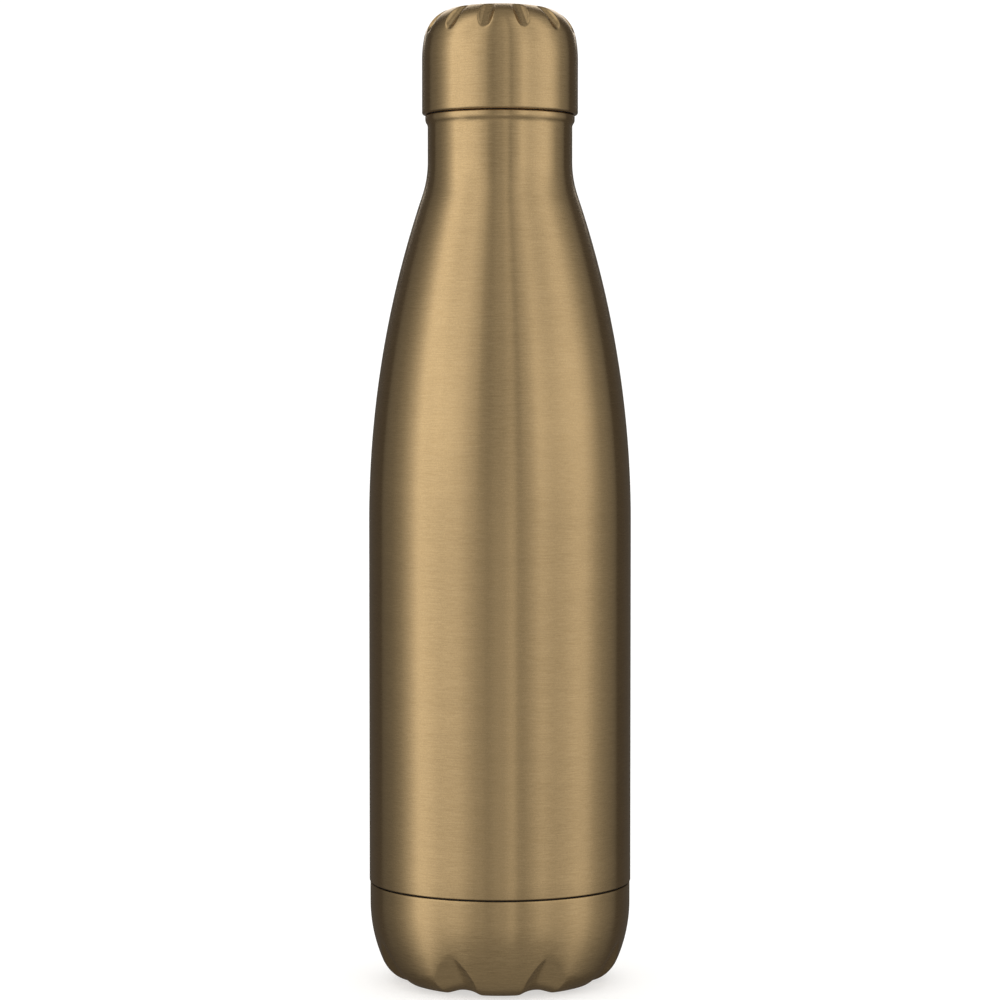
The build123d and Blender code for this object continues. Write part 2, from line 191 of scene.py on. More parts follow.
shell = {
    "columns": 256,
    "wall": 0.5,
    "seamGap": 0.42,  # open line between the cup's edge and the shell
    "lowerRound": 0.3,
    "spigotRadius": 34.1,
    "spigotSteps": ((0.1, -0.08), (0.3, 0.0)),  # out and up, a small fillet into the lower edge
    "seamShadeMargin": 0.01,  # painted seam shade: the dark material covers faces centred up to this far above the seam's top
    "shoulderStart": 123.0,
    "shoulderCurve": 272.0,
    "neckRadius": 19.25,
    "neckCurve": 28.7,
    "neckRun": 6.0,  # straight neck with close rows, under the bead
    "beadRadius": 19.9,
    "beadSpan": 2.1,  # height over which the neck swells into the bead
    "beadFlat": 0.6,
    "topRound": 0.5,
    "topInset": 0.05,  # where the flat top starts, in from its round
    "coatRise": 0.13,
    "coatGap": 0.02,  # between the coating and the liner's flange
    "outerRows": (24, 72, 26),  # up the side, over the shoulder and along the neck's curve
    "innerRows": (8, 40, 14),
    "beadRows": (5, 8, 3, 7, 3),  # neck, each half of the swelling, flat, round and top
    "lowerRows": 7,
}
shell["shoulderCentre"] = shellRadius - shell["shoulderCurve"]


def bottleSide(radius, shoulderCurve, neckRadius, neckCurve, bottom, rows):
    # One wall surface: a straight side, the shoulder's arc, and the neck's arc, which touches both the
    # shoulder's circle and the neck's straight wall.
    start, centre = shell["shoulderStart"], shell["shoulderCentre"]
    across = neckRadius + neckCurve - centre
    neckHeight = start + math.sqrt((shoulderCurve + neckCurve) ** 2 - across ** 2)
    turn = math.degrees(math.asin((neckHeight - start) / (shoulderCurve + neckCurve)))
    return joinRuns(
        lineRun((radius, bottom), (radius, start), rows[0]),
        arcRun((centre, start), shoulderCurve, 0, turn, rows[1]),
        arcRun((neckRadius + neckCurve, neckHeight), neckCurve, 180 + turn, 180, rows[2]),
    )


def bodyShell():
    # turned outline: up the spigot, round the lower edge, up side and neck, over the bead, down inside
    s = shell
    wall, lower, top = s["wall"], s["lowerRound"], s["topRound"]
    neck, widest, spigot = s["neckRadius"], s["beadRadius"], s["spigotRadius"]
    edge = cupTop + s["seamGap"]
    outer = bottleSide(shellRadius, s["shoulderCurve"], neck, s["neckCurve"], edge + lower, s["outerRows"])
    coatTop = rimTop + s["coatRise"]  # the coated bead hides the liner's folded edge
    beadTop = coatTop - top
    neckTop = coatTop - top - s["beadFlat"] - s["beadSpan"]
    out = widest - neck
    swell = (s["beadSpan"] ** 2 + out ** 2) / (4 * out)  # two equal arcs make the swelling
    lean = math.degrees(math.asin(s["beadSpan"] / 2 / swell))
    rows = s["beadRows"]
    bead = joinRuns(
        lineRun((neck, neckTop - s["neckRun"]), (neck, neckTop), rows[0]),
        arcRun((neck + swell, neckTop), swell, 180, 180 - lean, rows[1]),
        arcRun((widest - swell, neckTop + s["beadSpan"]), swell, -lean, 0, rows[1]),
        lineRun((widest, neckTop + s["beadSpan"]), (widest, beadTop), rows[2]),
        arcRun((widest - top, beadTop), top, 0, 90, rows[3]),
    )
    bore, spigotBore = neck - wall, spigot - wall
    inner = bottleSide(shellRadius - wall, s["shoulderCurve"] - wall, bore, s["neckCurve"] + wall,
                       edge + 2 * lower, s["innerRows"])[::-1]
    flange, under = liner["flangeRadius"] + s["coatGap"], rimTop - liner["lipRound"]
    fillet = [(spigot + across, edge + up) for across, up in s["spigotSteps"]]
    outline = joinRuns(
        np.array([(spigotBore, edge - lower), (spigotBore, spigotBottom), (spigot, spigotBottom),
                  (spigot, edge - lower)] + fillet),
        arcRun((shellRadius - lower, edge + lower), lower, -90, 0, s["lowerRows"]),
        outer, bead,
        lineRun((widest - top - s["topInset"], coatTop), (flange, coatTop), rows[4]),
        np.array([(flange, under), (bore, under)]),
        inner,
    )
    return skin("bodyShell", turned(outline, s["columns"]), outline)


cup = {
    "lobes": 8,
    "columnsPerLobe": 48,
    "wall": 0.5,
    "edgeRound": 0.22,
    "band": 5.1,  # straight band under the top edge
    "sideCurve": 39.0,
    "footCurve": 10.0,
    "footInner": 20.0,
    "footEdge": 2.5,
    "domeRise": 4.5,
    "valleyApex": 12.0,  # height where a valley begins
    "valleyLean": 34.0,
    "valleyRadii": (3.0, 8.0, 10.5, 11.0),  # at the apex, on the side, at the turn and at the foot
    "valleyPlaces": (0.0, 5.0, 9.0, 20.0),  # where those radii hold, down from the apex
    "valleyBend": 8.0,
    "valleyFootGap": 0.8,
    "valleyFootSlope": 7.0,
    "valleySoftness": 0.18,
    "barAbove": 6.0,  # how far the pressing bar goes on above the apex and past the foot
    "barBeyond": 12.0,
    "barPoints": (50, 40),  # along each straight run and round the bend
    "topInset": 0.01,  # where the flat top starts, in from its round
    "bandInset": 0.1,  # the inner band's first and last rows, in from its ends
    "outerRows": (32, 8, 32, 40),  # dome, foot's inner edge and flat, foot's curve and side
    "innerRows": (18, 5, 18, 22),
    "bandRows": (8, 5, 2, 4),
}


def cupCurves(wall, rows):
    # the cup's outline without its valleys, drawn in by a wall, from the axis out and up to the band
    c = cup
    sideCentre = cupRadius - c["sideCurve"]
    bandHeight = cupTop - c["band"]
    drop = bandHeight - c["footCurve"]
    reach = math.sqrt((c["sideCurve"] - c["footCurve"]) ** 2 - drop ** 2)
    turn = math.degrees(math.atan2(drop, reach))
    footRadius = sideCentre + reach
    slope = 2 * math.degrees(math.atan2(c["domeRise"], c["footInner"]))
    dome = c["footInner"] / math.sin(math.radians(slope)) - c["footEdge"] + wall
    return joinRuns(
        arcRun((0, c["domeRise"] + wall - dome), dome, 90, 90 - slope, rows[0]),
        arcRun((c["footInner"], c["footEdge"]), c["footEdge"] - wall, -90 - slope, -90, rows[1]),
        lineRun((c["footInner"], wall), (footRadius, wall), rows[1]),
        arcRun((footRadius, c["footCurve"]), c["footCurve"] - wall, -90, -turn, rows[2]),
        arcRun((sideCentre, bandHeight), c["sideCurve"] - wall, -turn, 0, rows[3]),
    ), bandHeight


def valleyBar():
    # Middle line and radii of the bar that presses one valley, in (radius, height). The valley's floor is
    # two straight runs with an arc between; the middle lies one radius outside the floor.
    c = cup
    sideCentre = cupRadius - c["sideCurve"]
    bandHeight = cupTop - c["band"]
    apexRadius = sideCentre + math.sqrt(c["sideCurve"] ** 2 - (bandHeight - c["valleyApex"]) ** 2)
    apex = np.array([apexRadius, c["valleyApex"]])
    foot = np.array([c["footInner"], c["valleyFootGap"]])
    lean, slope = math.radians(c["valleyLean"]), math.radians(c["valleyFootSlope"])
    down = np.array([-math.sin(lean), -math.cos(lean)])
    out = np.array([math.cos(lean), -math.sin(lean)])
    inward = -np.array([math.cos(slope), math.sin(slope)])
    below = np.array([math.sin(slope), -math.cos(slope)])
    across = foot - apex
    run = (across[0] * inward[1] - across[1] * inward[0]) / (down[0] * inward[1] - down[1] * inward[0])
    corner = apex + down * run
    half = (math.pi - math.acos(down @ inward)) / 2
    reach = c["valleyBend"] / math.tan(half)
    first, last = corner - down * reach, corner + inward * reach
    straight, bend = c["barPoints"]
    normalTurn = np.linspace(math.atan2(out[1], out[0]), math.atan2(below[1], below[0]), bend)
    arcNormals = np.stack([np.cos(normalTurn), np.sin(normalTurn)], 1)
    above = lineRun(apex - down * c["barAbove"], first, straight)
    beyond = lineRun(last, foot + inward * c["barBeyond"], straight)
    bent = (first - out * c["valleyBend"] + arcNormals * c["valleyBend"])[1:-1]
    floor = np.concatenate([above, bent, beyond])
    normals = np.concatenate([np.tile(out, (straight, 1)), arcNormals[1:-1], np.tile(below, (straight, 1))])
    length = np.r_[0, np.cumsum(np.hypot(*np.diff(floor, axis=0).T))] - c["barAbove"]
    radii = np.interp(length, c["valleyPlaces"], c["valleyRadii"])
    return floor + normals * radii[:, None], radii


def lobed(grid, wall):
    # Eight bars pressed up against the cup. The point is taken into the flat frame of the nearest valley,
    # as (along the valley's radius, sideways, up), pressed by the bar's deepest span and taken back.
    c = cup
    valley = nearestOf(c["lobes"], -np.pi / 2 + np.pi / c["lobes"], grid)
    local = swung(grid, -valley)
    middle, radii = valleyBar()
    deepest = np.full(local.shape[:-1], -np.inf)
    bestRadius, bestDistance = np.ones_like(deepest), np.ones_like(deepest)
    away = np.zeros_like(local)
    for a, b, radiusA, radiusB in zip(middle[:-1], middle[1:], radii[:-1], radii[1:]):
        span = b - a
        share = np.clip(((local[..., ::2] - a) @ span) / (span @ span), 0, 1)
        spot = a + share[..., None] * span
        gap = np.stack([local[..., 0] - spot[..., 0], local[..., 1], local[..., 2] - spot[..., 1]], -1)
        distance = np.linalg.norm(gap, axis=-1)
        radius = radiusA + share * (radiusB - radiusA) + wall
        closer = radius - distance > deepest
        deepest = np.where(closer, radius - distance, deepest)
        bestRadius = np.where(closer, radius, bestRadius)
        bestDistance = np.where(closer, distance, bestDistance)
        away = np.where(closer[..., None], gap, away)
    local = pressed(local, bestRadius, bestDistance, away / bestDistance[..., None], c["valleySoftness"])
    return swung(local, valley)


def baseCup():
    # the turned outline, its outer part pressed by the bars and its inner part by bars one wall thicker
    c = cup
    outside, bandHeight = cupCurves(0, c["outerRows"])
    inside, _ = cupCurves(c["wall"], c["innerRows"])
    small, bore, rows = c["edgeRound"], cupRadius - c["wall"], c["bandRows"]
    band = joinRuns(
        lineRun((cupRadius, bandHeight), (cupRadius, cupTop - small), rows[0]),
        arcRun((cupRadius - small, cupTop - small), small, 0, 90, rows[1]),
        lineRun((cupRadius - small - c["topInset"], cupTop), (bore, cupTop), rows[2]),
        lineRun((bore, cupTop - c["bandInset"]), (bore, bandHeight + c["bandInset"]), rows[3]),
    )
    outline = joinRuns(outside, band, inside[::-1])
    grid = turned(outline, c["lobes"] * c["columnsPerLobe"], -90)
    split = len(outside) + len(band) // 2
    grid = np.concatenate([lobed(grid[:split], 0), lobed(grid[split:], c["wall"])])
    return skin("baseCup", grid, outline, poles=True)


lid = {
    "flutes": 12,
    "columnsPerFlute": 32,
    "firstFlute": 18.2,  # degrees
    "wall": 0.6,
    "sideHeight": 14.6,
    "sideCurve": 30.0,
    "leanHeight": 20.6,
    "shoulderCurve": 9.45,
    "hem": 0.62,
    "hemLip": 0.5,
    "lipRound": 0.12,
    "lipInset": 0.01,  # where the lip starts, in from the hem's middle
    "fluteRadius": 2.15,
    "fluteDrop": 7.9,
    "fluteReach": 12.8,
    "fluteSoftness": 0.14,
    "outerRows": (14, 64, 40),  # up the side, over the shoulder and across the crown
    "innerRows": (6, 30, 18),
    "skirtRows": (6, 5, 4, 12, 16),  # bore, inside of the hem, each corner of the lip, hem and side
}


def lidCurves():
    # Side, shoulder and crown are arcs that touch one another. The crown's centre is on the axis, and its
    # radius is the one that puts its middle at the lid's top.
    s = lid
    sideHeight, leanHeight = lidBottom + s["sideHeight"], lidBottom + s["leanHeight"]
    sideCentre = lidRadius - s["sideCurve"]
    lean = math.asin((leanHeight - sideHeight) / s["sideCurve"])
    gap = s["sideCurve"] - s["shoulderCurve"]
    shoulder = np.array([sideCentre + gap * math.cos(lean), sideHeight + gap * math.sin(lean)])
    drop = lidTop - shoulder[1]
    crown = (drop ** 2 + shoulder[0] ** 2 - s["shoulderCurve"] ** 2) / (2 * (drop - s["shoulderCurve"]))
    top = math.degrees(math.atan2(shoulder[1] - lidTop + crown, shoulder[0]))
    return sideHeight, sideCentre, math.degrees(lean), shoulder, crown, top


def lidDome(wall, rows):
    # side, shoulder and crown of the lid, drawn in by a wall, from the side up to the axis
    sideHeight, sideCentre, lean, shoulder, crown, top = lidCurves()
    return joinRuns(
        arcRun((sideCentre, sideHeight), lid["sideCurve"] - wall, 0, lean, rows[0]),
        arcRun(shoulder, lid["shoulderCurve"] - wall, lean, top, rows[1]),
        arcRun((0, lidTop - crown), crown - wall, top, 90, rows[2]),
    ), sideHeight


def fluted(grid, wall):
    # Twelve straight round bars laid over the shoulder, each in the plane of its own radius.
    s = lid
    _, _, _, shoulder, crown, _ = lidCurves()
    lowHeight = lidTop - s["fluteDrop"]
    lowReach = math.sqrt(s["shoulderCurve"] ** 2 - (lowHeight - shoulder[1]) ** 2)
    low = np.array([shoulder[0] + lowReach, lowHeight])
    high = np.array([s["fluteReach"], lidTop - crown + math.sqrt(crown ** 2 - s["fluteReach"] ** 2)])
    rise = (high - low) / np.linalg.norm(high - low)
    out = np.array([rise[1], -rise[0]])
    start = low + out * s["fluteRadius"]
    flute = nearestOf(s["flutes"], math.radians(s["firstFlute"]), grid)
    local = swung(grid, -flute)
    across = (local[..., ::2] - start) @ out
    away = np.stack([across * out[0], local[..., 1], across * out[1]], -1)
    distance = np.linalg.norm(away, axis=-1)
    local = pressed(local, s["fluteRadius"] + wall, distance, away / distance[..., None], s["fluteSoftness"])
    return swung(local, flute)


def lidShell():
    # the turned outline of a cap with a rolled hem, its dome pressed by the flutes' bars inside and out
    s = lid
    outside, sideHeight = lidDome(0, s["outerRows"])
    inside, _ = lidDome(s["wall"], s["innerRows"])
    wall, hem, rows = s["wall"], s["hem"], s["skirtRows"]
    bore, hemHeight = lidRadius - wall, lidBottom + hem
    hemCentre = (lidRadius - hem, hemHeight)
    lip, lipStart = lidRadius - hem - s["hemLip"], hemCentre[0] - s["lipInset"]
    skirt = joinRuns(
        lineRun((bore, sideHeight), (bore, hemHeight), rows[0]),
        arcRun(hemCentre, hem - wall, 0, -90, rows[1]),
        roundCorners([(lipStart, lidBottom + wall), (lip, lidBottom + wall),
                      (lip, lidBottom), (lipStart, lidBottom)], s["lipRound"], rows[2]),
        arcRun(hemCentre, hem, -90, 0, rows[3]),
        lineRun((lidRadius, hemHeight), (lidRadius, sideHeight), rows[4]),
    )
    outline = joinRuns(inside[::-1], skirt, outside)
    grid = turned(outline, s["flutes"] * s["columnsPerFlute"], s["firstFlute"])
    split = len(inside) + len(skirt) // 2
    grid = np.concatenate([fluted(grid[:split], wall), fluted(grid[split:], 0)])
    return skin("lidShell", grid, outline, poles=True)


thread = {
    "pitch": 4.0,
    "turns": 1.75,
    "drop": 12.1,  # from the rim down to the neck thread's lowest turn
    "height": 1.2,
    "crest": 0.45,  # half the crest's width
    "root": 0.9,
    "fade": 18.0,  # degrees over which a ridge rises from the wall at its ends
}


def ridge(angle, height, start):
    # How far the helical ridge stands out at an angle and height: 1 on the crest, straight flanks, and a
    # smooth rise at both ends. The turn number is the one whose ridge lies nearest in height.
    t = thread
    turn = np.mod(angle, 2 * np.pi) / (2 * np.pi)
    number = np.clip(np.round((height - start) / t["pitch"] - turn), 0, np.floor(t["turns"] - turn))
    gap = np.abs(height - start - (turn + number) * t["pitch"])
    flank = np.clip((t["root"] - gap) / (t["root"] - t["crest"]), 0, 1)
    wound = (turn + number) * 360
    ends = np.clip(np.minimum(wound, t["turns"] * 360 - wound) / t["fade"], 0, 1)
    return flank * np.sqrt(np.clip(1 - (1 - ends) ** 2, 0, 1))


def threaded(outline, columns, wallRadius, start, way):
    # The turned outline, with the ridge standing out of the wall of that radius: radius times
    # (1 + way x ridge x height / radius). Way is 1 outwards and -1 inwards.
    grid = turned(outline, columns)
    wall = (np.abs(outline[:, 0] - wallRadius) < onWall)[:, None]
    stand = ridge(np.arctan2(grid[..., 1], grid[..., 0]), grid[..., 2], start)
    scale = np.where(wall, 1 + way * stand * thread["height"] / wallRadius, 1)
    return grid * np.stack([scale, scale, np.ones_like(scale)], -1)


liner = {
    "columns": 240,
    "wall": 0.5,
    "boreGap": 1.55,  # between the stopper's barrel and the neck's bore
    "neckCurve": 30.0,
    "lipRound": 0.5,
    "flangeRadius": 19.13,
    "flangeInset": 0.02,  # the flange's lower face ends this far in from its lip
    "rimInset": 0.01,  # the flat rim's first and last rows, in from its rounds
    "threadAbove": 0.9,  # the thread's close rows start this far under the rim
    "threadBelow": 1.2,  # and end this far under the thread
    "outerRows": (6, 24, 10),  # up the side, over the shoulder and along the neck's curve
    "innerRows": (8, 30, 12),
    "rimRows": (7, 3),  # each round and the flat between them
    "threadRows": 110,
}


def linerBody():
    # turned outline: up the outer side, over the flange and rim, down the threaded bore, back inside
    s = liner
    wall, lip, flange, inset = s["wall"], s["lipRound"], s["flangeRadius"], s["rimInset"]
    bore = boxOf("stopper_end_cap")[0] + s["boreGap"]
    neck = bore + wall
    shoulderCurve = linerRadius - shell["shoulderCentre"]
    outer = bottleSide(linerRadius, shoulderCurve, neck, s["neckCurve"] - wall, linerBottom, s["outerRows"])
    inner = bottleSide(linerRadius - wall, shoulderCurve - wall, bore, s["neckCurve"], linerBottom,
                       s["innerRows"])[::-1]
    under, threadFoot = rimTop - lip, rimTop - thread["drop"]
    outline = joinRuns(
        outer,
        np.array([(neck, under), (flange - s["flangeInset"], under)]),
        arcRun((flange - lip, under), lip, 0, 90, s["rimRows"][0]),
        lineRun((flange - lip - inset, rimTop), (bore + lip + inset, rimTop), s["rimRows"][1]),
        arcRun((bore + lip, under), lip, 90, 180, s["rimRows"][0]),
        lineRun((bore, rimTop - s["threadAbove"]), (bore, threadFoot - s["threadBelow"]), s["threadRows"]),
        inner,
    )
    return skin("linerBody", threaded(outline, s["columns"], bore, threadFoot, -1), outline)


stopper = {
    "columns": 216,
    "barrelWall": 2.0,
    "floor": 2.5,
    "cupWall": 2.0,
    "threadGap": 1.29,  # how far the stopper's ridge lies under the neck's
    "edge": 0.4,
    "fillet": 0.5,  # between the barrel and the flange
    "bevel": (0.01, 0.02),  # across and up, at the barrel's lower edge
    "threadEnds": (0.05, 0.6),  # the thread's close rows stop short of the barrel's ends by this
    "flangeStart": 0.55,  # the flange's face starts this far out from the barrel
    "boreTop": 0.1,  # the bore's last row, under the floor
    "floorInset": 0.01,
    "threadRows": 130,
    "rows": (3, 2, 5, 4),  # bore, bevel, each round, and the flange's face and side
}


def stopperBody():
    # turned outline: down the bore, up the threaded barrel, out under the flange, up the side, in again
    s = stopper
    barrel = boxOf("stopper_end_cap")[0]
    outerRadius, bottom, top = boxOf("stopper_body")
    under = boxOf("lid_gasket")[2]
    edge, fillet, rows = s["edge"], s["fillet"], s["rows"]
    barrelBore, cupBore = barrel - s["barrelWall"], outerRadius - s["cupWall"]
    floor = under + s["floor"]
    outline = joinRuns(
        lineRun((barrelBore, floor - s["boreTop"]), (barrelBore, bottom), rows[0]),
        lineRun((barrel - s["bevel"][0], bottom), (barrel, bottom + s["bevel"][1]), rows[1]),
        lineRun((barrel, bottom + s["threadEnds"][0]), (barrel, under - s["threadEnds"][1]), s["threadRows"]),
        arcRun((barrel + fillet, under - fillet), fillet, 180, 90, rows[2]),
        lineRun((barrel + s["flangeStart"], under), (outerRadius - edge, under), rows[3]),
        arcRun((outerRadius - edge, under + edge), edge, -90, 0, rows[2]),
        lineRun((outerRadius, under + edge), (outerRadius, top), rows[3]),
        np.array([(cupBore, top), (cupBore, floor), (barrelBore + s["floorInset"], floor)]),
    )
    start = rimTop - thread["drop"] - s["threadGap"]
    return skin("stopperBody", threaded(outline, s["columns"], barrel, start, 1), outline)


endCap = {
    "flange": 1.5,  # height of the wide part that closes the barrel
    "dish": 0.5,  # depth of the hollow in its lower face
    "firstRing": 1.5,  # radius of the hollow's first row
    "dishEnd": 4.0,  # in from the rim: where the hollow's flat ends
    "slope": (3.4, 3.1),  # in from the rim: the hollow's sloping side
    "slopeRise": 0.08,
    "face": (3.0, 0.7),  # in from the rim: the flat ring it ends in
    "round": 0.6,
    "sideStart": 0.65,
    "rows": (6, 2, 3, 8, 2),  # hollow, slope, ring, round and side
}


def stopperEndCap():
    # turned outline: out over the hollow lower face, round the edge, up the side, in over the spigot
    s = endCap
    radius, bottom, top = boxOf("stopper_end_cap")
    spigot, rows = radius - stopper["barrelWall"], s["rows"]
    dish, shoulder = bottom + s["dish"], bottom + s["flange"]
    outline = joinRuns(
        np.array([(0, dish)]),
        lineRun((s["firstRing"], dish), (radius - s["dishEnd"], dish), rows[0]),
        lineRun((radius - s["slope"][0], bottom + s["slopeRise"]), (radius - s["slope"][1], bottom), rows[1]),
        lineRun((radius - s["face"][0], bottom), (radius - s["face"][1], bottom), rows[2]),
        arcRun((radius - s["round"], bottom + s["round"]), s["round"], -90, 0, rows[3]),
        lineRun((radius, bottom + s["sideStart"]), (radius, shoulder), rows[4]),
        np.array([(spigot, shoulder), (spigot, top), (0, top)]),
    )
    return skin("stopperEndCap", turned(outline, stopper["columns"]), outline, poles=True)


gasket = {
    "columns": 200,
    "boreGap": 0.1,  # round the stopper's barrel
    "soft": 0.35,  # round of the outer edge
    "lowerBevel": (0.1, 0.12),  # across and up, at the bore's lower edge
    "upperBevel": 0.02,
    "topInset": 0.05,  # where the flat top starts, in from its round
    "rows": (3, 12, 6, 4),  # bore, lower face, each round and upper face
}


def lidGasket():
    # turned outline of a flat ring: down the bore, out below, round the soft edge, back along the top
    s = gasket
    radius, bottom, top = boxOf("lid_gasket")
    bore = boxOf("stopper_end_cap")[0] + s["boreGap"]
    soft, upper, rows = s["soft"], s["upperBevel"], s["rows"]
    outline = joinRuns(
        lineRun((bore, top - upper), (bore, bottom + s["lowerBevel"][1]), rows[0]),
        lineRun((bore + s["lowerBevel"][0], bottom), (radius - soft, bottom), rows[1]),
        arcRun((radius - soft, bottom + soft), soft, -90, 0, rows[2]),
        arcRun((radius - soft, top - soft), soft, 0, 90, rows[2]),
        lineRun((radius - soft - s["topInset"], top), (bore + upper, top), rows[3]),
    )
    return skin("lidGasket", turned(outline, s["columns"]), outline)


def linear(hexColour):
    # an sRGB hex colour as Blender's linear red, green, blue and alpha
    parts = [int(hexColour[k:k + 2], 16) / 255 for k in (1, 3, 5)]
    return tuple(p / 12.92 if p <= 0.04045 else ((p + 0.055) / 1.055) ** 2.4 for p in parts) + (1.0,)


def addNode(tree, kind, settings=None, links=None, stops=()):
    # A node with its own settings, its sockets' values and its incoming links. On a colour ramp each stop
    # is (place, hex colour or grey level).
    node = tree.nodes.new(kind)
    for key, value in (settings or {}).items():
        if isinstance(key, int) or key in node.inputs:
            node.inputs[key].default_value = value
        else:
            setattr(node, key, value)
    for key, source in (links or {}).items():
        tree.links.new(source, node.inputs[key])
    if stops:
        elements = node.color_ramp.elements
        while len(elements) < len(stops):
            elements.new(0.5)
        for element, (position, colour) in zip(elements, stops):
            element.position = position
            element.color = linear(colour) if isinstance(colour, str) else (colour, colour, colour, 1)
    return node


def newMaterial(name):
    material = bpy.data.materials.new(name)
    material.use_nodes = True
    tree = material.node_tree
    tree.nodes.clear()
    return material, tree


noiseLow, noiseHigh = 0.3, 0.7  # nearly all of a noise texture's values lie between these
colourA, colourB = 6, 7  # sockets of a Mix node's two colours

bronze = {
    "light": "#E2C28F",
    "dark": "#C6A776",
    "streakLength": 3.5 * mm,  # a brush line before it fades
    "streakSpacing": 0.24 * mm,  # real lines are near 0.1 mm, drawn coarser so that they show
    "streakRoughness": 0.62,
    "patch": ("#D4B586", "#DDBD8C"),  # broad bands where the brush pressed harder or less hard
    "patchSpan": (0.35, 0.65),
    "patchLength": 35.714 * mm,
    "patchSpacing": 3.8462 * mm,
    "patchShare": 0.35,
    "fleck": 0.41667 * mm,  # the coating's own grain is finer, drawn coarser so that it shows
    "fleckShade": 0.91,
    "roughness": (0.21, 0.27),
    "anisotropic": 0.95,
    "grooves": 0.02 * mm,
    "grooveStrength": 0.1,
}


def brushedBronze():
    # Stainless steel with a bronze-coloured coating, brushed round the bottle on a lathe: fine lines round
    # it, and lights that stretch into long upright bands.
    b = bronze
    material, tree = newMaterial("brushedBronzeCoating")
    point = addNode(tree, "ShaderNodeTexCoord")
    xyz = addNode(tree, "ShaderNodeSeparateXYZ", {}, {0: point.outputs["Object"]})
    uv = addNode(tree, "ShaderNodeUVMap", {"uv_map": "brushing"})
    along = addNode(tree, "ShaderNodeSeparateXYZ", {}, {0: uv.outputs[0]})
    # sideways the lines are long, across them they are fine; v counts metres over the surface
    flat = addNode(tree, "ShaderNodeCombineXYZ", {},
                   {0: xyz.outputs[0], 1: xyz.outputs[1], 2: along.outputs[1]})
    fine = (1 / b["streakLength"], 1 / b["streakLength"], 1 / b["streakSpacing"])
    lines = addNode(tree, "ShaderNodeMapping", {"Scale": fine}, {"Vector": flat.outputs[0]})
    streak = addNode(tree, "ShaderNodeTexNoise",
                     {"Scale": 1.0, "Detail": 4.0, "Roughness": b["streakRoughness"]},
                     {"Vector": lines.outputs[0]})
    wide = (1 / b["patchLength"], 1 / b["patchLength"], 1 / b["patchSpacing"])
    broad = addNode(tree, "ShaderNodeMapping", {"Scale": wide}, {"Vector": flat.outputs[0]})
    band = addNode(tree, "ShaderNodeTexNoise", {"Scale": 1.0, "Detail": 2.0}, {"Vector": broad.outputs[0]})
    mottle = addNode(tree, "ShaderNodeTexNoise", {"Scale": 1 / b["fleck"], "Detail": 1.0},
                     {"Vector": point.outputs["Object"]})
    base = addNode(tree, "ShaderNodeValToRGB", {}, {"Fac": streak.outputs["Fac"]},
                   [(noiseLow, b["dark"]), (noiseHigh, b["light"])])
    patch = addNode(tree, "ShaderNodeValToRGB", {}, {"Fac": band.outputs["Fac"]},
                    list(zip(b["patchSpan"], b["patch"])))
    colour = addNode(tree, "ShaderNodeMix", {"data_type": "RGBA", 0: b["patchShare"]},
                     {colourA: base.outputs[0], colourB: patch.outputs[0]})
    grain = addNode(tree, "ShaderNodeValToRGB", {}, {"Fac": mottle.outputs["Fac"]},
                    [(noiseLow, b["fleckShade"]), (noiseHigh, 1.0)])
    toned = addNode(tree, "ShaderNodeMix", {"data_type": "RGBA", "blend_type": "MULTIPLY", 0: 1.0},
                    {colourA: colour.outputs[2], colourB: grain.outputs[0]})
    smooth, coarse = b["roughness"]
    rough = addNode(tree, "ShaderNodeMapRange",
                    {"From Min": noiseLow, "From Max": noiseHigh, "To Min": smooth, "To Max": coarse},
                    {"Value": streak.outputs["Fac"]})
    bump = addNode(tree, "ShaderNodeBump", {"Strength": b["grooveStrength"], "Distance": b["grooves"]},
                   {"Height": streak.outputs["Fac"]})
    roundAxis = addNode(tree, "ShaderNodeTangent", {"direction_type": "RADIAL", "axis": "Z"})
    shader = addNode(tree, "ShaderNodeBsdfPrincipled",
                     {"Metallic": 1.0, "Anisotropic": b["anisotropic"], "Anisotropic Rotation": 0.25},
                     {"Base Color": toned.outputs[2], "Roughness": rough.outputs[0],
                      "Normal": bump.outputs[0], "Tangent": roundAxis.outputs[0]})
    addNode(tree, "ShaderNodeOutputMaterial", {}, {"Surface": shader.outputs[0]})
    return material


def dress(tree, look, surface, cloud, grain, settings):
    # the cloud noise runs the colour from dark to light, the grain noise moves roughness and bump
    colour = addNode(tree, "ShaderNodeValToRGB", {}, {"Fac": cloud.outputs["Fac"]},
                     [(noiseLow, look["dark"]), (noiseHigh, look["light"])])
    smooth, coarse = (look["roughness"] * share for share in surface["roughness"])
    rough = addNode(tree, "ShaderNodeMapRange", {"To Min": smooth, "To Max": coarse},
                    {"Value": grain.outputs["Fac"]})
    bump = addNode(tree, "ShaderNodeBump", {"Strength": surface["bumpStrength"], "Distance": surface["bump"]},
                   {"Height": grain.outputs["Fac"]})
    shader = addNode(tree, "ShaderNodeBsdfPrincipled", settings,
                     {"Base Color": colour.outputs[0], "Roughness": rough.outputs[0],
                      "Normal": bump.outputs[0]})
    addNode(tree, "ShaderNodeOutputMaterial", {}, {"Surface": shader.outputs[0]})


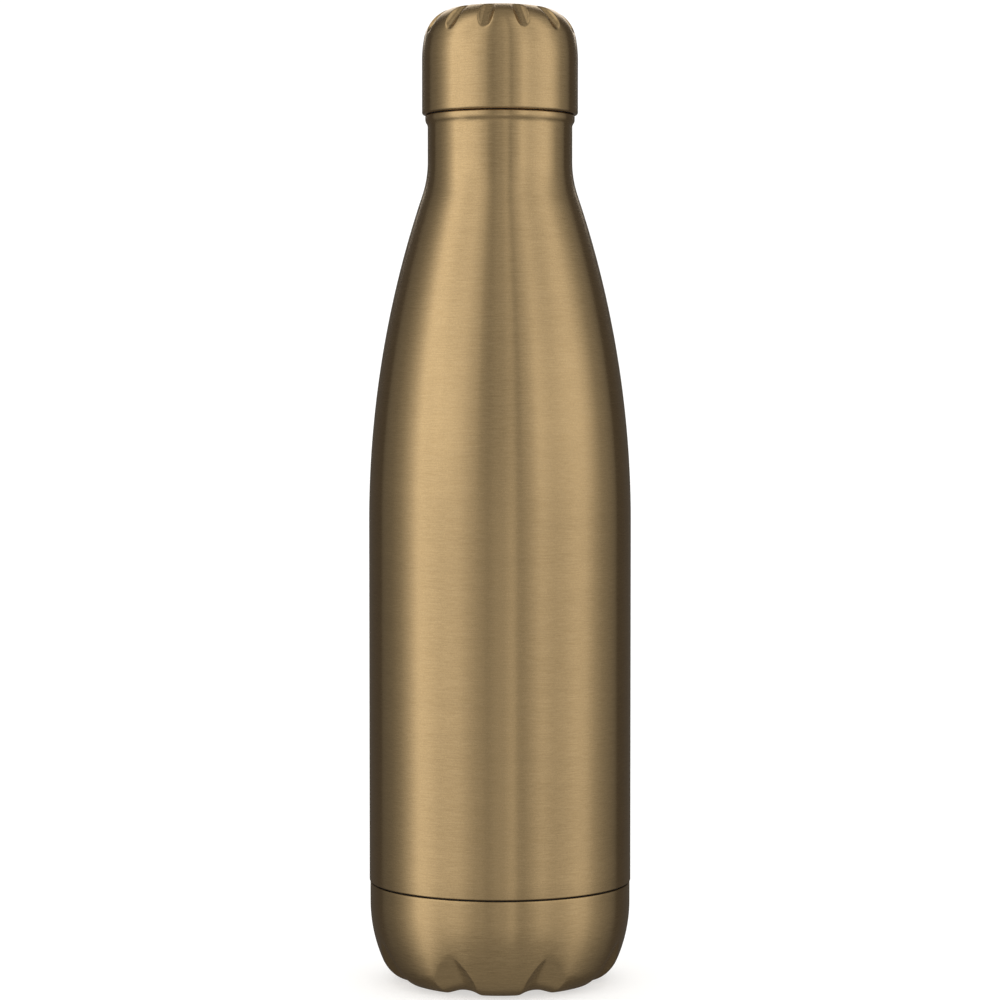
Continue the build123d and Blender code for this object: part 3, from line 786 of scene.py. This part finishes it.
metals = {
    # deep-drawn and spun sheet: cool grey, a clear shine, its tone drawn out in faint rings
    "bareStainlessSteel": {
        "light": "#CFCDC8", "dark": "#B9B7B2", "roughness": 0.22, "grain": 6 * mm, "stretch": 12.0},
    # rolled foil: salmon pink with a soft, slightly uneven shine
    "rolledCopperFoil": {
        "light": "#E3A07C", "dark": "#C97F5B", "roughness": 0.28, "grain": 4 * mm},
    # pressed powder: dull dark grey, speckled
    "pressedGetterPowder": {
        "light": "#6E6F72", "dark": "#4A4B4E", "roughness": 0.7, "grain": 0.3 * mm},
    # slit strip: plain grey with a soft shine
    "springSteelStrip": {
        "light": "#B0B1B3", "dark": "#98999C", "roughness": 0.3, "grain": 1 * mm},
    # punched sheet: pale and satin
    "aluminiumCover": {
        "light": "#D6D7D9", "dark": "#C2C3C6", "roughness": 0.35, "grain": 1.5 * mm},
}
metalSurface = {
    "roughness": (0.8, 1.25),  # shares of a metal's own roughness that its grain runs between
    "bump": 0.02 * mm,
    "bumpStrength": 0.15,
}


def plainMetal(name):
    # A bare metal whose tone wanders a little over its grain's size, stretched round where it was spun.
    m = metals[name]
    material, tree = newMaterial(name)
    point = addNode(tree, "ShaderNodeTexCoord")
    fine = (1 / m["grain"], 1 / m["grain"], m.get("stretch", 1.0) / m["grain"])
    mapping = addNode(tree, "ShaderNodeMapping", {"Scale": fine}, {"Vector": point.outputs["Object"]})
    noise = addNode(tree, "ShaderNodeTexNoise", {"Scale": 1.0, "Detail": 4.0}, {"Vector": mapping.outputs[0]})
    dress(tree, m, metalSurface, noise, noise, {"Metallic": 1.0})
    return material


plastics = {
    # injection moulded: near black, its satin grain spreads every highlight
    "blackPolypropylene": {
        "light": "#1E1E20", "dark": "#17171A", "roughness": 0.42, "grain": 0.25 * mm, "ior": 1.49},
    # pressed rubber: dark grey and matt
    "darkGreySilicone": {
        "light": "#3A3A3B", "dark": "#2E2E30", "roughness": 0.55, "grain": 0.4 * mm, "ior": 1.41},
    # poured and cured: dark brown, smooth enough to glint
    "curedEpoxy": {
        "light": "#332F2A", "dark": "#25221E", "roughness": 0.3, "grain": 0.8 * mm, "ior": 1.55},
    # melted in place: grey-green with a wet gloss
    "fusedSealingGlass": {
        "light": "#7E8F88", "dark": "#5F6F69", "roughness": 0.08, "grain": 2 * mm, "ior": 1.52, "coat": 0.5},
    # expanded beads: off-white, dull and pebbled
    "beadedFoam": {
        "light": "#F1F0EB", "dark": "#E2E1DB", "roughness": 0.85, "grain": 2.5 * mm, "ior": 1.49},
}
plasticSurface = {
    "cloud": 8.3333 * mm,
    "roughness": (0.85, 1.15),  # shares of a plastic's own roughness that its grain runs between
    "bump": 0.03 * mm,
    "bumpStrength": 0.3,
}


def mouldedPlastic(name):
    # Anything moulded or poured: one colour with a faint cloud in it, and a grain that bumps the surface.
    p = plastics[name]
    material, tree = newMaterial(name)
    point = addNode(tree, "ShaderNodeTexCoord")
    cloud = addNode(tree, "ShaderNodeTexNoise", {"Scale": 1 / plasticSurface["cloud"], "Detail": 2.0},
                    {"Vector": point.outputs["Object"]})
    fine = addNode(tree, "ShaderNodeTexNoise", {"Scale": 1 / p["grain"], "Detail": 2.0},
                   {"Vector": point.outputs["Object"]})
    dress(tree, p, plasticSurface, cloud, fine, {"IOR": p["ior"], "Coat Weight": p.get("coat", 0.0)})
    return material


def cover(piece, material):
    piece.data.materials.clear()
    piece.data.materials.append(material)


def paintSeamShade(piece, material):
    # painted shade: the spigot shows only in the base's open seam, and its faces there get the near-black
    # epoxy material to stand in for the seam's shadow
    mesh = piece.data
    mesh.materials.append(material)
    centres = np.empty(3 * len(mesh.polygons), np.float32)
    mesh.polygons.foreach_get("center", centres)
    across, height = np.hypot(centres[0::3], centres[1::3]), centres[2::3]
    seamTop = (cupTop + shell["seamGap"] + shell["seamShadeMargin"]) * mm
    seamShadeFaces = (height < seamTop) & (across < (shellRadius - shell["lowerRound"]) * mm)
    mesh.polygons.foreach_set("material_index", seamShadeFaces.astype(np.int32))


studio = {
    "floorRadius": 1.6,
    "wallRadius": 3.4,
    "wallHeight": 4.5,
    "floorColour": "#BDBCBA",
    "floorRoughness": 0.9,
    "floorSheen": 0.1,
    "floorGlow": 0.57,
    "glowColour": "#FFFFFF",
    "floorRows": (12, 24, 4),  # floor, curve and wall
    "floorColumns": 97,
    "hole": 0.001,  # radius of the innermost row of a round sheet
    "paleWorld": ("#FFFFFF", 0.93),  # what the camera sees past the wall
    "dimWorld": ("#FFF7EF", 0.085),  # what the metal sees where no light stands
    "sheetGrid": (13, 49),  # rows and columns of a softbox
    "discRings": 4,
}


def stagePiece(name, points, faces, material, uv=None):
    mesh = bpy.data.meshes.new(name)
    mesh.from_pydata(points.tolist(), [], faces.tolist())
    if uv is not None:
        mesh.uv_layers.new(name="face").data.foreach_set("uv", uv[faces.ravel()].astype(np.float32).ravel())
    mesh.shade_smooth()
    piece = newObject(name, mesh)
    cover(piece, material)
    return piece


def gridFaces(rows, columns):
    # four-sided faces between the neighbouring rows and columns of a grid
    number = np.arange(rows * columns).reshape(rows, columns)
    return np.stack([number[:-1, :-1], number[:-1, 1:], number[1:, 1:], number[1:, :-1]], 2).reshape(-1, 4)


def paleFloor():
    # a pale floor that curves up into a round wall, so that no edge shows behind the bottle
    s = studio
    rows, rise = s["floorRows"], s["wallRadius"] - s["floorRadius"]
    outline = joinRuns(lineRun((s["hole"], 0), (s["floorRadius"], 0), rows[0]),
                       arcRun((s["floorRadius"], rise), rise, -90, 0, rows[1]),
                       lineRun((s["wallRadius"], rise), (s["wallRadius"], s["wallHeight"]), rows[2]))
    angle = np.linspace(0, 2 * np.pi, s["floorColumns"])
    points = np.stack([outline[:, :1] * np.cos(angle), outline[:, :1] * np.sin(angle),
                       np.broadcast_to(outline[:, 1:], (len(outline), len(angle)))], 2)
    material, tree = newMaterial("paleStudioFloor")
    shader = addNode(tree, "ShaderNodeBsdfPrincipled",
                     {"Base Color": linear(s["floorColour"]), "Roughness": s["floorRoughness"],
                      "Specular IOR Level": s["floorSheen"],
                      "Emission Color": linear(s["glowColour"]), "Emission Strength": s["floorGlow"]})
    addNode(tree, "ShaderNodeOutputMaterial", {}, {"Surface": shader.outputs[0]})
    faces = gridFaces(len(outline), len(angle))
    floor = stagePiece("paleFloor", points.reshape(-1, 3), faces[:, ::-1], material)
    floor.visible_glossy = False


tallPanel = {"strength": 1.45, "distance": 1.3, "sheer": False}
neckPanel = {"strength": 1.0, "distance": 1.2, "sheer": True}
tall = [(-1.5, 0.35), (-0.7, 0.62), (-0.25, 0.80), (0.15, 0.94), (0.7, 1.0), (2.6, 1.0), (4.0, 0.75)]
low = [(-1.5, 0.4), (-0.7, 0.66), (-0.2, 0.98), (0.1, 1.0), (0.25, 0.66), (0.5, 0.66), (0.8, 0.84),
       (4.0, 0.8)]
neckBand = [(0.15, 0.1), (0.28, 1.0), (0.42, 1.0), (0.55, 0.1)]

# along a sheet: degrees from the front, to the right, and brightness; up it: metres and share of that
softboxes = {
    "leftSoftbox": {
        "along": [(-125.5, 0.16), (-108, 0.23), (-96, 0.38), (-86, 0.66), (-75, 1.14), (-67, 1.06),
                  (-54, 0.80), (-36, 0.84), (-27, 0.66), (-19, 0.50)],
        "up": tall, **tallPanel},
    "frontFill": {
        "along": [(-19, 0.50), (-13, 0.43), (-11, 0.38), (-3, 0.49), (3, 0.51), (9, 0.66), (13, 0.62),
                  (15, 0.44), (19, 0.43)],
        "up": low, **tallPanel},
    "neckFill": {
        "along": [(-66, 0.0), (-56, 0.48), (-46, 0.44), (-38, 0.14), (-30, 0.0)],
        "up": neckBand, **neckPanel},
    "neckFillRight": {
        "along": [(26, 0.0), (34, 0.3), (58, 0.3), (70, 0.16), (88, 0.3), (100, 0.0)],
        "up": neckBand, **neckPanel},
    "rightSoftbox": {
        "along": [(19, 0.43), (27, 0.57), (36, 0.73), (48, 0.595), (57, 0.64), (70, 0.81), (79, 0.78),
                  (90, 0.49), (102, 0.34), (122.5, 0.17)],
        "up": tall, **tallPanel},
    "backGlow": {
        "along": [(155, 0.8), (168, 1.5), (192, 1.5), (205, 0.8)],
        "up": [(0.47, 1.0), (1.35, 1.0)], **tallPanel, "strength": 2.0},
}


def softbox(name, along, up, strength, distance, sheer):
    # A curved sheet of light: point = (distance x sine, -distance x cosine, height) of the angle from the
    # front. A sheer sheet adds its light to the sheet behind it.
    rows, columns = studio["sheetGrid"]
    start, end, bottom, top = along[0][0], along[-1][0], up[0][0], up[-1][0]
    angle = np.radians(np.linspace(start, end, columns))
    height = np.linspace(bottom, top, rows)
    spread = np.meshgrid(angle, height)
    points = np.stack([distance * np.sin(spread[0]), -distance * np.cos(spread[0]), spread[1]], 2)
    uv = np.stack(np.meshgrid(np.linspace(0, 1, columns), np.linspace(0, 1, rows)), 2)
    material, tree = newMaterial(name + "Light")
    face = addNode(tree, "ShaderNodeUVMap", {"uv_map": "face"})
    parts = addNode(tree, "ShaderNodeSeparateXYZ", {}, {0: face.outputs[0]})
    across = addNode(tree, "ShaderNodeValToRGB", {}, {"Fac": parts.outputs[0]},
                     [((a - start) / (end - start), level / strength) for a, level in along])
    upright = addNode(tree, "ShaderNodeValToRGB", {}, {"Fac": parts.outputs[1]},
                      [((z - bottom) / (top - bottom), share) for z, share in up])
    level = addNode(tree, "ShaderNodeMix", {"data_type": "RGBA", "blend_type": "MULTIPLY", 0: 1.0},
                    {colourA: across.outputs[0], colourB: upright.outputs[0]})
    shader = addNode(tree, "ShaderNodeEmission", {"Strength": strength}, {"Color": level.outputs[2]})
    if sheer:
        clear = addNode(tree, "ShaderNodeBsdfTransparent")
        shader = addNode(tree, "ShaderNodeAddShader", {}, {0: shader.outputs[0], 1: clear.outputs[0]})
    addNode(tree, "ShaderNodeOutputMaterial", {}, {"Surface": shader.outputs[0]})
    piece = stagePiece(name, points.reshape(-1, 3), gridFaces(rows, columns), material, uv.reshape(-1, 2))
    piece.visible_camera = piece.visible_diffuse = piece.visible_shadow = False


glowDiscs = {
    "overheadGlow": {"height": 4.0, "strength": 0.3, "forward": 0.0, "reach": 1.2, "mirrored": True},
    "tableGlow": {"height": -0.5, "strength": 0.24, "forward": 0.62, "reach": 0.78, "mirrored": True},
    "roomGlow": {"height": 2.7, "strength": 1.5, "forward": 0.0, "reach": 2.2, "mirrored": False},
}


def glowDisc(name, height, strength, forward, reach, mirrored):
    # A round sheet of even light above the bottle, or below it where the metal mirrors the table. Metal
    # sees only the mirrored ones; the other one lights the floor and every dull surface.
    rings, columns = studio["discRings"], studio["sheetGrid"][1]
    angle = np.linspace(0, 2 * np.pi, columns)
    radius = np.linspace(studio["hole"], reach, rings)[:, None]
    points = np.stack([radius * np.cos(angle), radius * np.sin(angle) - forward,
                       np.full((rings, columns), height)], 2)
    material, tree = newMaterial(name + "Light")
    shader = addNode(tree, "ShaderNodeEmission", {"Strength": strength})
    addNode(tree, "ShaderNodeOutputMaterial", {}, {"Surface": shader.outputs[0]})
    piece = stagePiece(name, points.reshape(-1, 3), gridFaces(rings, columns), material)
    piece.visible_camera = piece.visible_shadow = False
    piece.visible_diffuse, piece.visible_glossy = not mirrored, mirrored


def pickWorld():
    # pale behind the floor's wall for the camera, dim for what the metal mirrors
    world = bpy.data.worlds.new("studioWorld")
    bpy.context.scene.world = world
    world.use_nodes = True
    tree = world.node_tree
    tree.nodes.clear()
    path = addNode(tree, "ShaderNodeLightPath")
    pale, dim = (addNode(tree, "ShaderNodeBackground", {"Color": linear(colour), "Strength": strength})
                 for colour, strength in (studio["paleWorld"], studio["dimWorld"]))
    mix = addNode(tree, "ShaderNodeMixShader", {},
                  {0: path.outputs["Is Camera Ray"], 1: dim.outputs[0], 2: pale.outputs[0]})
    addNode(tree, "ShaderNodeOutputWorld", {}, {"Surface": mix.outputs[0]})


view = {
    "distance": 0.800,
    "height": 0.15845,
    "pitch": 2.12,  # degrees downwards
    "lens": 107.71,
    "sensor": 36.0,
    "clip": (0.01, 50),
}


def camera():
    data = bpy.data.cameras.new("camera")
    data.lens, data.sensor_width = view["lens"], view["sensor"]
    data.clip_start, data.clip_end = view["clip"]
    data.dof.use_dof = False
    piece = newObject("camera", data)
    piece.location = (0, -view["distance"], view["height"])
    piece.rotation_euler = (math.radians(90 - view["pitch"]), 0, 0)
    bpy.context.scene.camera = piece


print("shapes")
shellPiece = place(bodyShell(), "bottle", "bronze_coated_steel", "outer_shell")
cupPiece = place(baseCup(), "bottle", "bronze_coated_steel", "base_cup")
lidPiece = place(lidShell(), "lid", "bronze_coated_steel", "lid_shell")
linerPiece = place(linerBody(), "bottle", "bare_steel", "liner_body")
stopperPiece = place(stopperBody(), "lid", "black_pp", "stopper_body")
endCapPiece = place(stopperEndCap(), "lid", "black_pp", "stopper_end_cap")
gasketPiece = place(lidGasket(), "gasket", "silicone", "lid_gasket")

print("finishes")
coated = brushedBronze()
for piece in (shellPiece, cupPiece, lidPiece):
    cover(piece, coated)
steel = plainMetal("bareStainlessSteel")
cover(linerPiece, steel)
blackPlastic = mouldedPlastic("blackPolypropylene")
cover(stopperPiece, blackPlastic)
cover(endCapPiece, blackPlastic)
cover(gasketPiece, mouldedPlastic("darkGreySilicone"))
epoxyAndSeamShade = mouldedPlastic("curedEpoxy")
# painted shade: the spigot faces in the open seam wear the dark epoxy as a shadow line
paintSeamShade(shellPiece, epoxyAndSeamShade)
nodeFinish = {
    "shell_end_disc": steel,
    "liner_base": steel,
    "copper_wrap": plainMetal("rolledCopperFoil"),
    "getter_pill": plainMetal("pressedGetterPowder"),
    "getter_clip": plainMetal("springSteelStrip"),
    "vacuum_seal": mouldedPlastic("fusedSealingGlass"),
    "port_cover": plainMetal("aluminiumCover"),
    "base_bond": epoxyAndSeamShade,
    "lid_bond": epoxyAndSeamShade,
    "stopper_foam": mouldedPlastic("beadedFoam"),
    "stopper_top_disc": blackPlastic,
}
for node, material in nodeFinish.items():
    cover(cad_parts[node], material)

print("studio")
paleFloor()
for name, values in softboxes.items():
    softbox(name, **values)
for name, values in glowDiscs.items():
    glowDisc(name, **values)
pickWorld()
bpy.context.scene.view_settings.view_transform = "Standard"
camera()
